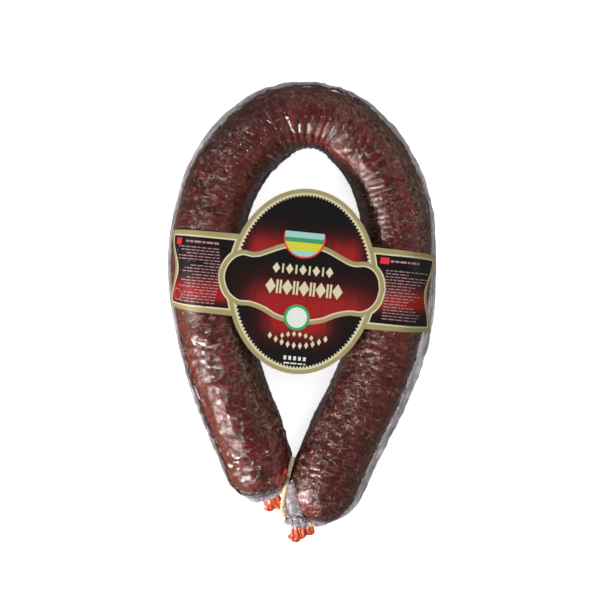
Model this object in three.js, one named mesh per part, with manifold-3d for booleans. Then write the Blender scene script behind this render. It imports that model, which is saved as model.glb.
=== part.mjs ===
// A cured beef sausage bent into a horseshoe, lying flat: casing, tied ends, clear film and a die-cut label.
// Millimetres, +Z up. The origin is on the resting plane, under the middle of the object.

import * as THREE from 'three';
import { mergeVertices } from 'three/addons/utils/BufferGeometryUtils.js';
import Module from 'manifold-3d';

const manifold = await Module();
manifold.setup();

// ---------------------------------------------------------------- driving dimensions

const GAP = 0.3;                 // clearance between pieces that touch
const FILM_GAP = 0.5;            // clearance between the casing and the film drawn over it
const FILM = 0.3;                // film thickness
const FIN_HALF = 0.25;           // half the thickness of the welded fin
const LEAST_FIN = 0.15;
const REST_DEPTH = 1.2;          // how far the underside is pressed flat
const BODY_RADIUS = 20;          // full arm of the sausage
const NECK_RADIUS = 4.2;         // gathered casing under the tie
const NECK_LENGTH = 3.4;
const CAP_LENGTH = 23;           // rounded end between the neck and the full arm
const STRING_RADIUS = 1.3;
const LABEL_THICKNESS = 0.4;
const LABEL_TILT = THREE.MathUtils.degToRad(-5.6);
const LABEL_CENTRE = new THREE.Vector2(1, 18.5);
const OVAL_HALF_WIDTH = 45.5;
const OVAL_HALF_HEIGHT = 57;
const WING_HALF_HEIGHT = 24.5;
const WING_REACH = 88.5;         // flat half length of the label, over both wings
const WING_NOTCH = 7.5;          // how far each wing end curves in at its middle

const AXIS_HEIGHT = FILM + FILM_GAP + BODY_RADIUS - REST_DEPTH;   // where the arms have their full radius

// Axis of the sausage, from the neck of the left end, over the arch, to the neck of the right end.
const AXIS = new THREE.CatmullRomCurve3([
  new THREE.Vector3(-22, -116.5, 0),
  new THREE.Vector3(-24, -103, 0),
  new THREE.Vector3(-27.5, -88, 0),
  new THREE.Vector3(-36, -67.5, 0),
  new THREE.Vector3(-45.5, -42, 0),
  new THREE.Vector3(-52.5, -18, 0),
  new THREE.Vector3(-58, 10, 0),
  new THREE.Vector3(-59.5, 32, 0),
  new THREE.Vector3(-56.5, 55.5, 0),
  new THREE.Vector3(-48.5, 81.5, 0),
  new THREE.Vector3(-35, 102, 0),
  new THREE.Vector3(-16, 117, 0),
  new THREE.Vector3(3.5, 122, 0),
  new THREE.Vector3(22.5, 117.5, 0),
  new THREE.Vector3(39, 103, 0),
  new THREE.Vector3(51, 84.5, 0),
  new THREE.Vector3(58.5, 62.5, 0),
  new THREE.Vector3(60.5, 33, 0),
  new THREE.Vector3(58, 5, 0),
  new THREE.Vector3(50.5, -25, 0),
  new THREE.Vector3(38.5, -55, 0),
  new THREE.Vector3(25.5, -80, 0),
  new THREE.Vector3(17.5, -97, 0),
  new THREE.Vector3(11, -114, 0),
  new THREE.Vector3(3.5, -132, 0),
], false, 'centripetal');
AXIS.arcLengthDivisions = 1200;
const LENGTH = AXIS.getLength();
const AXIS_SAMPLES = AXIS.getSpacedPoints(600);

// Along the axis, as a share of its length: casing radius, outer fin width, inner fin width.
const PROFILE = [
  [0.00, 20.0, 1.2, 0.1],
  [0.05, 20.2, 2.0, 0.1],
  [0.10, 20.0, 2.4, 1.8],
  [0.30, 20.0, 2.4, 2.4],
  [0.42, 18.8, 4.0, 4.0],
  [0.50, 17.4, 3.0, 2.6],
  [0.58, 18.6, 3.8, 2.0],
  [0.68, 20.0, 2.8, 2.2],
  [0.77, 20.0, 6.0, 2.2],
  [0.87, 20.0, 5.0, 2.0],
  [0.93, 20.8, 4.6, 0.1],
  [1.00, 20.0, 2.0, 0.1],
];

// ---------------------------------------------------------------- the swept section

function profileAt(share) {
  const last = PROFILE.length - 1;
  const next = THREE.MathUtils.clamp(PROFILE.findIndex((row) => row[0] >= share), 1, last);
  const [from, to] = [PROFILE[next - 1], PROFILE[next]];
  const blend = THREE.MathUtils.smoothstep(share, from[0], to[0]);
  return [1, 2, 3].map((column) => THREE.MathUtils.lerp(from[column], to[column], blend));
}

// Height of the axis over the casing's underside, so that the whole length rests on one plane.
function restHeightAt(arc) {
  return profileAt(arc / LENGTH)[0] - REST_DEPTH;
}

function capShape(distance) {
  const inward = THREE.MathUtils.clamp(distance / CAP_LENGTH, 0, 1);
  return Math.sqrt(1 - (1 - inward) ** 2);
}

// Radius of the casing at an arc length, with both rounded ends and the necks.
function radiusAt(arc) {
  const [radius] = profileAt(arc / LENGTH);
  const ends = capShape(arc - NECK_LENGTH) * capShape(LENGTH - NECK_LENGTH - arc);
  return Math.max(NECK_RADIUS, radius * ends);
}

// The arms press on each other just above their ends, which flattens their facing sides.
function facingSquash(arc) {
  const left = Math.exp(-(((arc - 22) / 10) ** 2));
  const right = Math.exp(-(((LENGTH - 30 - arc) / 12) ** 2));
  return 0.5 * (left + right);
}

// Point and in-plane directions of the axis; outward points away from the inside of the horseshoe.
function frameAt(arc) {
  const share = THREE.MathUtils.clamp(arc / LENGTH, 0, 1);
  const along = AXIS.getTangentAt(share);
  const centre = AXIS.getPointAt(share);
  centre.addScaledVector(along, arc - share * LENGTH);
  return { centre, along, outward: new THREE.Vector3(-along.y, along.x, 0) };
}

// A section point from its angle: 0 is the outer side, 90 degrees the top.
function sectionPoint(arc, radius, angle, offset) {
  const inner = Math.cos(angle) < 0;
  const width = inner ? radius - Math.min(facingSquash(arc), 0.3 * radius) : radius;
  const underside = -restHeightAt(arc) - offset;
  return new THREE.Vector2(
    (width + offset) * Math.cos(angle),
    Math.max((radius + offset) * Math.sin(angle), underside),
  );
}

// Angles down one side of the underside, over its flat strip and up the other side.
function undersideAngles(arc, radius, offset, from, to) {
  const steps = 4;
  const flat = Math.acos(Math.min((restHeightAt(arc) + offset) / (radius + offset), 0.995));
  const bottom = 1.5 * Math.PI;
  const side = (start, end) => Array.from({ length: steps + 1 }, (_, i) => (
    THREE.MathUtils.lerp(start, end, i / steps)
  ));
  return [...side(from, bottom - flat), ...side(bottom + flat, to)];
}

// Places section points on the axis, moved along it so that an offset follows the rounded ends too.
function ringAt(arc, offset, sectionOf) {
  const step = 0.05;
  const slope = (radiusAt(arc + step) - radiusAt(arc - step)) / (2 * step);
  const lean = Math.hypot(1, slope);
  const { centre, along, outward } = frameAt(arc - (offset * slope) / lean);
  return sectionOf(radiusAt(arc), offset / lean).map((point) => new THREE.Vector3(
    centre.x + outward.x * point.x,
    centre.y + outward.y * point.x,
    FILM + FILM_GAP + restHeightAt(arc) + point.y,
  ));
}

// Arc lengths of the rings: even along the arms, closer on the rounded ends.
function stations(start, bodyRings, capRings) {
  const cap = [];
  for (let i = 0; i <= capRings; i += 1) {
    const turn = (i / capRings) * Math.PI / 2;
    cap.push(NECK_LENGTH + CAP_LENGTH * (1 - Math.cos(turn)));
  }
  const first = cap[capRings];
  const span = LENGTH - 2 * first;
  const body = Array.from({ length: bodyRings - 1 }, (_, i) => first + span * (i + 1) / bodyRings);
  const leftEnd = [start, ...cap.filter((arc) => arc > start + 0.2)];
  return [...leftEnd, ...body, ...leftEnd.map((arc) => LENGTH - arc).reverse()];
}

// ---------------------------------------------------------------- closed meshes

function meshGeometry(points, triangles) {
  const geometry = new THREE.BufferGeometry().setFromPoints(points);
  geometry.setIndex(triangles.flat());
  geometry.computeVertexNormals();
  return geometry;
}

function bandTriangles(from, to, count, flip) {
  const triangles = [];
  for (let i = 0; i < count; i += 1) {
    const j = (i + 1) % count;
    const quad = [from + i, from + j, to + j, to + i];
    const [a, b, c, d] = flip ? quad.reverse() : quad;
    triangles.push([a, b, c], [a, c, d]);
  }
  return triangles;
}

// A solid through a row of rings, closed by a flat fan at each end.
function solidThroughRings(rings) {
  const count = rings[0].length;
  const points = rings.flat();
  const triangles = [];
  for (let r = 0; r + 1 < rings.length; r += 1) {
    triangles.push(...bandTriangles(r * count, (r + 1) * count, count, false));
  }
  for (const [ring, flip] of [[0, false], [rings.length - 1, true]]) {
    const middle = rings[ring].reduce((sum, p) => sum.add(p), new THREE.Vector3()).divideScalar(count);
    const hub = points.push(middle) - 1;
    for (let i = 0; i < count; i += 1) {
      const edge = [ring * count + i, ring * count + ((i + 1) % count)];
      const [a, b] = flip ? edge.reverse() : edge;
      triangles.push([hub, b, a]);
    }
  }
  return meshGeometry(points, triangles);
}

// A thin tube between an outer and an inner row of rings, open at both ends.
function tubeBetweenRings(outerRings, innerRings) {
  const count = outerRings[0].length;
  const innerStart = outerRings.length * count;
  const points = [...outerRings.flat(), ...innerRings.flat()];
  const triangles = [];
  for (let r = 0; r + 1 < outerRings.length; r += 1) {
    const [from, to] = [r * count, (r + 1) * count];
    triangles.push(...bandTriangles(from, to, count, false));
    triangles.push(...bandTriangles(innerStart + from, innerStart + to, count, true));
  }
  const lastRing = (outerRings.length - 1) * count;
  triangles.push(...bandTriangles(0, innerStart, count, true));
  triangles.push(...bandTriangles(lastRing, innerStart + lastRing, count, false));
  return meshGeometry(points, triangles);
}

// A thin sheet between an upper and a lower grid of points.
function sheetBetweenGrids(upper, lower) {
  const [columns, rows] = [upper.length, upper[0].length];
  const points = [...upper.flat(), ...lower.flat()];
  const lowerStart = columns * rows;
  const triangles = [];
  for (let c = 0; c + 1 < columns; c += 1) {
    for (let r = 0; r + 1 < rows; r += 1) {
      const [a, b] = [c * rows + r, (c + 1) * rows + r];
      triangles.push([a, b, b + 1], [a, b + 1, a + 1]);
      triangles.push(
        [lowerStart + a, lowerStart + b + 1, lowerStart + b],
        [lowerStart + a, lowerStart + a + 1, lowerStart + b + 1],
      );
    }
  }
  const rim = [];
  for (let c = 0; c < columns; c += 1) rim.push(c * rows);
  for (let r = 1; r < rows; r += 1) rim.push((columns - 1) * rows + r);
  for (let c = columns - 2; c >= 0; c -= 1) rim.push(c * rows + rows - 1);
  for (let r = rows - 2; r > 0; r -= 1) rim.push(r);
  rim.forEach((a, i) => {
    const b = rim[(i + 1) % rim.length];
    triangles.push([a, lowerStart + a, b], [b, lowerStart + a, lowerStart + b]);
  });
  return meshGeometry(points, triangles);
}

function toManifold(geometry) {
  const bare = geometry.clone();
  bare.deleteAttribute('normal');
  bare.deleteAttribute('uv');
  const merged = mergeVertices(bare, 1e-4);
  return new manifold.Manifold(new manifold.Mesh({
    numProp: 3,
    vertProperties: new Float32Array(merged.attributes.position.array),
    triVerts: new Uint32Array(merged.index.array),
  }));
}

function joined(geometries) {
  const mesh = geometries.map(toManifold).reduce((whole, next) => whole.add(next)).getMesh();
  const geometry = new THREE.BufferGeometry();
  geometry.setAttribute('position', new THREE.BufferAttribute(mesh.vertProperties, 3));
  geometry.setIndex(new THREE.BufferAttribute(mesh.triVerts, 1));
  geometry.computeVertexNormals();
  return geometry;
}

function named(name, geometry, look) {
  const mesh = new THREE.Mesh(geometry, new THREE.MeshStandardMaterial(look));
  mesh.name = name;
  return mesh;
}

// ---------------------------------------------------------------- the sausage

function sausage() {
  const upperSides = 10;
  const upper = Array.from({ length: upperSides - 1 }, (_, i) => (i + 1) * Math.PI / upperSides);
  const rings = stations(0, 52, 8).map((arc) => ringAt(arc, 0, (radius, offset) => {
    const angles = [...upper, ...undersideAngles(arc, radius, offset, Math.PI, 2 * Math.PI)];
    return angles.map((angle) => sectionPoint(arc, radius, angle, offset));
  }));
  const look = { color: 0x5a2d26, roughness: 0.45, metalness: 0 };
  return named('sausage', solidThroughRings(rings), look);
}

// ---------------------------------------------------------------- the clear film

// The film hugs the casing and leaves it at each side for the weld, which stands out as a thin fin.
function filmSection(arc, radius, offset, finShare, finHalf) {
  const steps = 9;
  const shrink = (radius / BODY_RADIUS) ** 2;
  const [, ...finWidths] = profileAt(arc / LENGTH);
  const [outerFin, innerFin] = finWidths.map((width) => Math.max(width * shrink, LEAST_FIN));
  const leaves = (fin) => Math.acos(radius / (radius + fin));
  const tip = (side, fin) => side + fin * finShare;
  const outerTip = tip(sectionPoint(arc, radius, 0, offset).x, outerFin);
  const innerTip = -tip(-sectionPoint(arc, radius, Math.PI, offset).x, innerFin);
  const [outerLeave, innerLeave] = [leaves(outerFin), Math.PI - leaves(innerFin)];
  const upper = Array.from({ length: steps + 1 }, (_, i) => (
    THREE.MathUtils.lerp(outerLeave, innerLeave, i / steps)
  ));
  const lower = undersideAngles(arc, radius, offset, 2 * Math.PI - innerLeave, 2 * Math.PI - outerLeave);
  const hugging = (angles) => angles.map((angle) => sectionPoint(arc, radius, angle, offset));
  return [
    new THREE.Vector2(outerTip, finHalf),
    ...hugging(upper),
    new THREE.Vector2(innerTip, finHalf),
    new THREE.Vector2(innerTip, -finHalf),
    ...hugging(lower),
    new THREE.Vector2(outerTip, -finHalf),
  ];
}

function filmBag() {
  const arcs = stations(NECK_LENGTH + 1.2, 52, 8);
  const wall = (distance, finShare, finHalf) => arcs.map((arc) => ringAt(
    arc,
    distance,
    (radius, offset) => filmSection(arc, radius, offset, finShare, finHalf),
  ));
  const look = { color: 0xd8d6de, roughness: 0.12, metalness: 0, transparent: true, opacity: 0.3 };
  const walls = tubeBetweenRings(wall(FILM_GAP + FILM, 1, FIN_HALF), wall(FILM_GAP, 0.85, FIN_HALF / 8));
  return named('film_bag', walls, look);
}

// ---------------------------------------------------------------- the tied ends

// A lobe of gathered casing: a flat tapering drop from one point to another.
function casingLobe(from, to, halfWidth, halfHeight) {
  const length = from.distanceTo(to);
  const outline = [[0, 0], [0.55, 0.02], [0.8, 0.25], [1, 0.55], [0.75, 0.8], [0.35, 0.97], [0, 1]];
  const profile = outline.map(([radius, share]) => new THREE.Vector2(radius * halfWidth, share * length));
  const lobe = new THREE.LatheGeometry(profile, 12);
  lobe.scale(1, 1, halfHeight / halfWidth);
  const along = to.clone().sub(from).normalize();
  const side = new THREE.Vector3(along.y, -along.x, 0).normalize();
  const placed = new THREE.Matrix4().makeBasis(side, along, new THREE.Vector3().crossVectors(side, along));
  lobe.applyMatrix4(placed.setPosition(from));
  return lobe;
}

function casingTail(name, lobes) {
  const look = { color: 0xd8573a, roughness: 0.4, metalness: 0 };
  return named(name, joined(lobes.map((lobe) => casingLobe(...lobe))), look);
}

function casingTails() {
  const leftRoot = new THREE.Vector3(-21.4, -117.8, AXIS_HEIGHT);
  const rightRoot = new THREE.Vector3(2.8, -134, AXIS_HEIGHT);
  return [
    casingTail('casing_tail_left', [
      [leftRoot, new THREE.Vector3(-19.5, -123.5, AXIS_HEIGHT - 1.5), 2.6, 2],
      [leftRoot, new THREE.Vector3(-12.5, -122.5, AXIS_HEIGHT - 1), 2.4, 1.8],
    ]),
    casingTail('casing_tail_right', [
      [rightRoot, new THREE.Vector3(-1.8, -142.8, AXIS_HEIGHT - 2), 4.6, 2.4],
      [rightRoot, new THREE.Vector3(6.4, -139, AXIS_HEIGHT - 1), 3, 2.2],
    ]),
  ];
}

// One turn of string round a neck.
function stringTurn(arc) {
  const { centre, along } = frameAt(arc);
  const turn = new THREE.TorusGeometry(NECK_RADIUS + GAP + STRING_RADIUS, STRING_RADIUS, 8, 20);
  turn.applyQuaternion(new THREE.Quaternion().setFromUnitVectors(new THREE.Vector3(0, 0, 1), along));
  turn.translate(centre.x, centre.y, AXIS_HEIGHT);
  return turn;
}

// The free end of the right tie lies in the valley between the two arms.
function stringRun() {
  const route = new THREE.CatmullRomCurve3([
    new THREE.Vector3(0.5, -130, AXIS_HEIGHT + 5),
    new THREE.Vector3(-4.5, -130.5, AXIS_HEIGHT + 5.5),
    new THREE.Vector3(-9, -128, AXIS_HEIGHT + 5.5),
    new THREE.Vector3(-11.2, -122.5, AXIS_HEIGHT + 5.5),
    new THREE.Vector3(-10.6, -115, AXIS_HEIGHT + 6.5),
    new THREE.Vector3(-9, -107, AXIS_HEIGHT + 8.5),
    new THREE.Vector3(-6.8, -98, AXIS_HEIGHT + 9.5),
    new THREE.Vector3(-4.6, -90, AXIS_HEIGHT + 9),
  ], false, 'centripetal');
  const section = new THREE.Shape();
  section.absarc(0, 0, STRING_RADIUS, 0, 2 * Math.PI);
  return new THREE.ExtrudeGeometry(section, { extrudePath: route, steps: 28, curveSegments: 4 });
}

function ties() {
  const look = { color: 0xe6d3a8, roughness: 0.85, metalness: 0 };
  const nearEnd = NECK_LENGTH / 2;
  return [
    named('tie_string_left', joined([stringTurn(nearEnd)]), look),
    named('tie_string_right', joined([stringTurn(LENGTH - nearEnd), stringRun()]), look),
  ];
}

// ---------------------------------------------------------------- the label

// Lays a flat label point over the arms: level between their crests, then round them, then straight
// down the film where it leaves the casing.
function onArms(flat, lift) {
  const samples = AXIS_SAMPLES.length - 1;
  let nearest = 0;
  let best = Infinity;
  for (let i = 0; i <= samples; i += 1) {
    const distance = AXIS_SAMPLES[i].distanceToSquared(flat);
    if (distance < best) [best, nearest] = [distance, i / samples];
  }
  const [, outerFin] = profileAt(nearest);
  const under = BODY_RADIUS + FILM_GAP + FILM + GAP;
  const wrapRadius = under + lift;
  const { centre, outward } = frameAt(nearest * LENGTH);
  const reach = flat.clone().sub(centre).dot(outward);
  if (reach <= 0) return new THREE.Vector3(flat.x, flat.y, AXIS_HEIGHT + wrapRadius);
  const turned = Math.min(reach / under, Math.asin(BODY_RADIUS / (BODY_RADIUS + outerFin)));
  const straight = reach - turned * under;
  const out = wrapRadius * Math.sin(turned) + straight * Math.cos(turned);
  const up = wrapRadius * Math.cos(turned) - straight * Math.sin(turned);
  const slipped = flat.clone().addScaledVector(outward, out - reach);
  return new THREE.Vector3(slipped.x, slipped.y, AXIS_HEIGHT + up);
}

// Half height of the die-cut outline: an oval crossed by two wings.
function labelHalfHeight(reach) {
  const inOval = Math.min(Math.abs(reach) / OVAL_HALF_WIDTH, 1);
  return Math.max(WING_HALF_HEIGHT, OVAL_HALF_HEIGHT * Math.sqrt(1 - inOval ** 2));
}

function label() {
  const rows = 8;
  const ovalColumns = 26;
  const wingColumns = 12;
  const join = OVAL_HALF_WIDTH * Math.sqrt(1 - (WING_HALF_HEIGHT / OVAL_HALF_HEIGHT) ** 2);
  const reaches = [];
  for (let i = 0; i < wingColumns; i += 1) reaches.push(-WING_REACH + (WING_REACH - join) * i / wingColumns);
  for (let i = 0; i <= ovalColumns; i += 1) reaches.push(-join * Math.cos(Math.PI * i / ovalColumns));
  for (let i = 1; i <= wingColumns; i += 1) reaches.push(join + (WING_REACH - join) * i / wingColumns);
  const grid = (lift) => reaches.map((reach) => Array.from({ length: rows + 1 }, (_, r) => {
    const across = 2 * r / rows - 1;
    const beyond = Math.max(Math.abs(reach) - join, 0) / (WING_REACH - join);
    const pulled = reach - Math.sign(reach) * beyond * WING_NOTCH * Math.cos(across * Math.PI / 2) ** 2;
    const flat = new THREE.Vector2(pulled, across * labelHalfHeight(reach));
    flat.rotateAround(new THREE.Vector2(), LABEL_TILT).add(LABEL_CENTRE);
    return onArms(new THREE.Vector3(flat.x, flat.y, 0), lift);
  }));
  const look = { color: 0x7a1a1a, roughness: 0.35, metalness: 0.1 };
  return named('label', sheetBetweenGrids(grid(LABEL_THICKNESS), grid(0)), look);
}

// ---------------------------------------------------------------- assembly

const part = new THREE.Group();
part.add(sausage(), filmBag(), ...casingTails(), ...ties(), label());

export default part;
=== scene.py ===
"""A cured beef sausage bent into a horseshoe: casing, tied ends, clear film and a die-cut label.

Shapes are worked out in millimetres in the frame of the CAD part and written to Blender in metres.
"""

import math

import bmesh
import bpy
import numpy as np
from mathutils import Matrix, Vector


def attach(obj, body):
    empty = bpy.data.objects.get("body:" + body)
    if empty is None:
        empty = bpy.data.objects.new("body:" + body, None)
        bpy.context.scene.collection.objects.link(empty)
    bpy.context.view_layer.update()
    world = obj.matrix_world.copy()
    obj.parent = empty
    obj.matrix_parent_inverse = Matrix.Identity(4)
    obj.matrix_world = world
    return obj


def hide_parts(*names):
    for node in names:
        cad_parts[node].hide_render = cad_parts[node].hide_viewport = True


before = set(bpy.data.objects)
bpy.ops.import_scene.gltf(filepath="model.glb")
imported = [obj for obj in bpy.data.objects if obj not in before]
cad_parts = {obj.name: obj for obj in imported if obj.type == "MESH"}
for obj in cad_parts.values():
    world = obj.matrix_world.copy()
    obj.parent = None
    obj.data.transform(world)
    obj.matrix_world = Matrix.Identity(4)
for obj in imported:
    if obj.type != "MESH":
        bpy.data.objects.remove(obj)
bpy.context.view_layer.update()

MM = 0.001

# ---------------- dimensions, in millimetres

FILM = 0.3
FILM_GAP = 0.5
REST_DEPTH = 1.2
BODY_RADIUS = 20.0
NECK_RADIUS = 4.2
NECK_LENGTH = 3.4
CAP_LENGTH = 23.0
STRING_RADIUS = 1.4
FLAP_THICKNESS = 0.12
LEAST_FIN = 0.15
FIN_HALF_ANGLE = math.radians(20)
AXIS_HEIGHT = FILM + FILM_GAP + BODY_RADIUS - REST_DEPTH

# Rings along the body and on each rounded end, and points round a ring.
BODY_RINGS = 655
CAP_RINGS = 26
COLUMNS = 136

AXIS_POINTS = np.array([
    (-22, -116.5), (-24, -103), (-27.5, -88), (-36, -67.5), (-45.5, -42), (-52.5, -18), (-58, 10),
    (-59.5, 32), (-56.5, 55.5), (-48.5, 81.5), (-35, 102), (-16, 117), (3.5, 122), (22.5, 117.5),
    (39, 103), (51, 84.5), (58.5, 62.5), (60.5, 33), (58, 5), (50.5, -25), (38.5, -55), (25.5, -80),
    (17.5, -97), (11, -114), (3.5, -132),
], float)

# Along the axis, as a share of its length: casing radius, outer fin width, inner fin width.
PROFILE = np.array([
    (0.00, 20.0, 1.2, 0.1),
    (0.05, 20.2, 2.0, 0.1),
    (0.10, 20.0, 2.4, 1.8),
    (0.30, 20.0, 2.4, 2.4),
    (0.42, 18.8, 4.0, 4.0),
    (0.50, 17.4, 3.0, 2.6),
    (0.58, 18.6, 3.8, 2.0),
    (0.68, 20.0, 2.8, 2.2),
    (0.77, 20.0, 6.0, 2.2),
    (0.87, 20.0, 5.0, 2.0),
    (0.93, 20.8, 4.6, 0.1),
    (1.00, 20.0, 2.0, 0.1),
])

LABEL_TILT = math.radians(-5.6)
LABEL_CENTRE = (1.0, 18.5)
OVAL = (45.5, 57.0)
WING_HALF_HEIGHT = 24.5
WING_REACH = 88.5
WING_NOTCH = 7.5
CARD_THICKNESS = 0.3
INK_THICKNESS = 0.05
LINE_INSET = 2.5
GROUND_INSET = 3.5
LABEL_CELL = 3.0
LABEL_LIFT = BODY_RADIUS + FILM_GAP + FILM + 0.3

# ---------------- curves and noise


def smoothstep(value, low, high):
    share = np.clip((value - low) / (high - low), 0, 1)
    return share * share * (3 - 2 * share)


def span(value, rise, full, fade, end):
    """1 from full to fade, 0 before rise and after end, smooth between."""
    return smoothstep(value, rise, full) * (1 - smoothstep(value, fade, end))


def hump(value, middle, width):
    """A bell curve, 1 at its middle."""
    return np.exp(-((value - middle) / width) ** 2)


def centripetal(points, steps):
    """Points along a centripetal Catmull-Rom curve."""
    points = np.asarray(points, float)
    padded = np.vstack([2 * points[0] - points[1], points, 2 * points[-1] - points[-2]])
    spans = []
    for first in range(len(points) - 1):
        p = padded[first:first + 4]
        gaps = np.sqrt(np.linalg.norm(np.diff(p, axis=0), axis=1))
        k = np.concatenate([[0], np.cumsum(gaps)])
        t = np.linspace(k[1], k[2], steps, endpoint=False)[:, None]

        def between(a, b, i, j):
            return (a * (k[j] - t) + b * (t - k[i])) / (k[j] - k[i])

        a, b, c = (between(p[i], p[i + 1], i, i + 1) for i in range(3))
        spans.append(between(between(a, b, 0, 2), between(b, c, 1, 3), 1, 2))
    return np.vstack([*spans, points[-1:]])


class Line:
    """A curve that is read by arc length."""

    def __init__(self, points, steps=60):
        self.points = centripetal(points, steps)
        gaps = np.linalg.norm(np.diff(self.points, axis=0), axis=1)
        self.arcs = np.concatenate([[0], np.cumsum(gaps)])
        self.length = self.arcs[-1]
        slopes = np.gradient(self.points, self.arcs, axis=0)
        self.slopes = slopes / np.linalg.norm(slopes, axis=1, keepdims=True)

    def read(self, values, arc):
        columns = [np.interp(arc, self.arcs, values[:, i]) for i in range(values.shape[1])]
        return np.stack(columns, -1)

    def along(self, arc):
        slopes = self.read(self.slopes, arc)
        return slopes / np.linalg.norm(slopes, axis=-1, keepdims=True)

    def at(self, arc):
        arc = np.asarray(arc, float)
        past = arc - np.clip(arc, 0, self.length)
        return self.read(self.points, arc) + past[..., None] * self.along(arc)


AXIS = Line(AXIS_POINTS)


NOISE_CELLS = 1024


def noise(x, y, wrap=NOISE_CELLS * 4, seed=1):
    """Smooth noise, about -1 to 1, that repeats in y after wrap cells."""
    turns = np.random.default_rng(seed).uniform(0, 2 * np.pi, (NOISE_CELLS, min(wrap, NOISE_CELLS)))
    x, y = np.broadcast_arrays(np.asarray(x, float), np.asarray(y, float))
    ix, iy = np.floor(x).astype(int), np.floor(y).astype(int)
    fx, fy = x - ix, y - iy

    def corner(i, j):
        angle = turns[(ix + i) % NOISE_CELLS, ((iy + j) % wrap) % turns.shape[1]]
        return np.cos(angle) * (fx - i) + np.sin(angle) * (fy - j)

    u, v = (f ** 3 * (f * (f * 6 - 15) + 10) for f in (fx, fy))
    low = corner(0, 0) * (1 - u) + corner(1, 0) * u
    high = corner(0, 1) * (1 - u) + corner(1, 1) * u
    return 1.5 * (low * (1 - v) + high * v)


AROUND = 2 * math.pi * BODY_RADIUS


def skin_noise(arc, around, long_scale, round_scale, seed):
    """Noise over the tube: cell sizes along and around it, without a seam."""
    wrap = max(2, round(AROUND / round_scale))
    return noise(arc / long_scale + 40, around * wrap / AROUND, wrap, seed)


def ridges(arc, around, long_scale, round_scale, seed, width=1.0):
    """Sharp folds, 1 on each fold and 0 beyond its width in noise units."""
    return np.clip(1 - np.abs(skin_noise(arc, around, long_scale, round_scale, seed)) / width, 0, 1)


# ---------------- the swept section


def profile_at(arc):
    """Casing radius, outer fin width and inner fin width."""
    share = np.clip(np.asarray(arc, float) / AXIS.length, 0, 1)
    upper = np.clip(np.searchsorted(PROFILE[:, 0], share), 1, len(PROFILE) - 1)
    low, high = PROFILE[upper - 1], PROFILE[upper]
    blend = smoothstep(share, low[..., 0], high[..., 0])[..., None]
    row = low * (1 - blend) + high * blend
    return row[..., 1], row[..., 2], row[..., 3]


def cap_shape(distance, fullness):
    """How far a rounded end has opened, 0 to 1; a fuller one is blunter."""
    return (1 - (1 - np.clip(distance / CAP_LENGTH, 0, 1)) ** fullness) ** (1 / fullness)


def radius_at(arc):
    ends = cap_shape(arc - NECK_LENGTH, 2.7) * cap_shape(AXIS.length - NECK_LENGTH - arc, 2.1)
    return np.maximum(NECK_RADIUS, profile_at(arc)[0] * ends)


def facing_squash(arc):
    """How far the two ends press each other flat on their inner sides."""
    return 0.5 * (hump(arc, 22, 10) + hump(arc, AXIS.length - 30, 12))


def stations(start):
    """Arc lengths of the rings: even along the arms, closer on the rounded ends."""
    turn = np.linspace(0, math.pi / 2, CAP_RINGS + 1)
    cap = NECK_LENGTH + CAP_LENGTH * (1 - np.cos(turn))
    end = np.concatenate([[start], cap[cap > start + 0.15]])
    body = np.linspace(end[-1], AXIS.length - end[-1], BODY_RINGS + 1)[1:-1]
    return np.concatenate([end, body, (AXIS.length - end)[::-1]])


# Section angles from the middle of the underside (0 is outward, pi / 2 is up), and their lengths round it.
TURNS = -math.pi / 2 + 2 * math.pi * np.arange(COLUMNS) / COLUMNS
ROUND = (TURNS + math.pi / 2) * BODY_RADIUS


def swept(arcs, offset, stretch=1.0):
    """Points of the tube at an offset from the casing's plain shape, one row for each ring."""
    arc, turn = arcs[:, None], TURNS[None, :]
    step = 0.05
    slope = (radius_at(arc + step) - radius_at(arc - step)) / (2 * step)
    lean = np.hypot(1, slope)
    radius = radius_at(arc)
    rest = profile_at(arc)[0] - REST_DEPTH
    out = offset / lean
    width = radius - np.where(np.cos(turn) < 0, np.minimum(facing_squash(arc), 0.3 * radius), 0)
    across = (width + out) * stretch * np.cos(turn)
    up = np.maximum((radius + out) * stretch * np.sin(turn), -rest - np.minimum(out, FILM_GAP + FILM))
    centre = AXIS.at(arc - offset * slope / lean)
    along = AXIS.along(arc)
    outward = np.stack([-along[..., 1], along[..., 0]], -1)
    flat = centre + outward * across[..., None]
    height = FILM + FILM_GAP + rest + up
    return np.concatenate([flat, height[..., None]], -1)


# ---------------- meshes


def new_piece(name, mesh, material, replaced):
    """Puts a mesh in the scene as a piece of the part."""
    piece = bpy.data.objects.new(name, mesh)
    bpy.context.scene.collection.objects.link(piece)
    mesh.materials.append(material)
    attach(piece, "root")
    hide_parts(replaced)


def built_mesh(name, verts, faces, uv, values):
    """A smooth mesh from points in metres, a uv for each face corner, and named fields on the points."""
    mesh = bpy.data.meshes.new(name)
    mesh.from_pydata([tuple(p) for p in verts], [], faces)
    mesh.uv_layers.new(name="UVMap").data.foreach_set("uv", np.array(uv, np.float32).ravel())
    for key, field in values.items():
        attribute = mesh.attributes.new(key, "FLOAT", "POINT")
        attribute.data.foreach_set("value", field.astype(np.float32))
    mesh.polygons.foreach_set("use_smooth", [True] * len(mesh.polygons))
    mesh.update()
    return mesh


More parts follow.
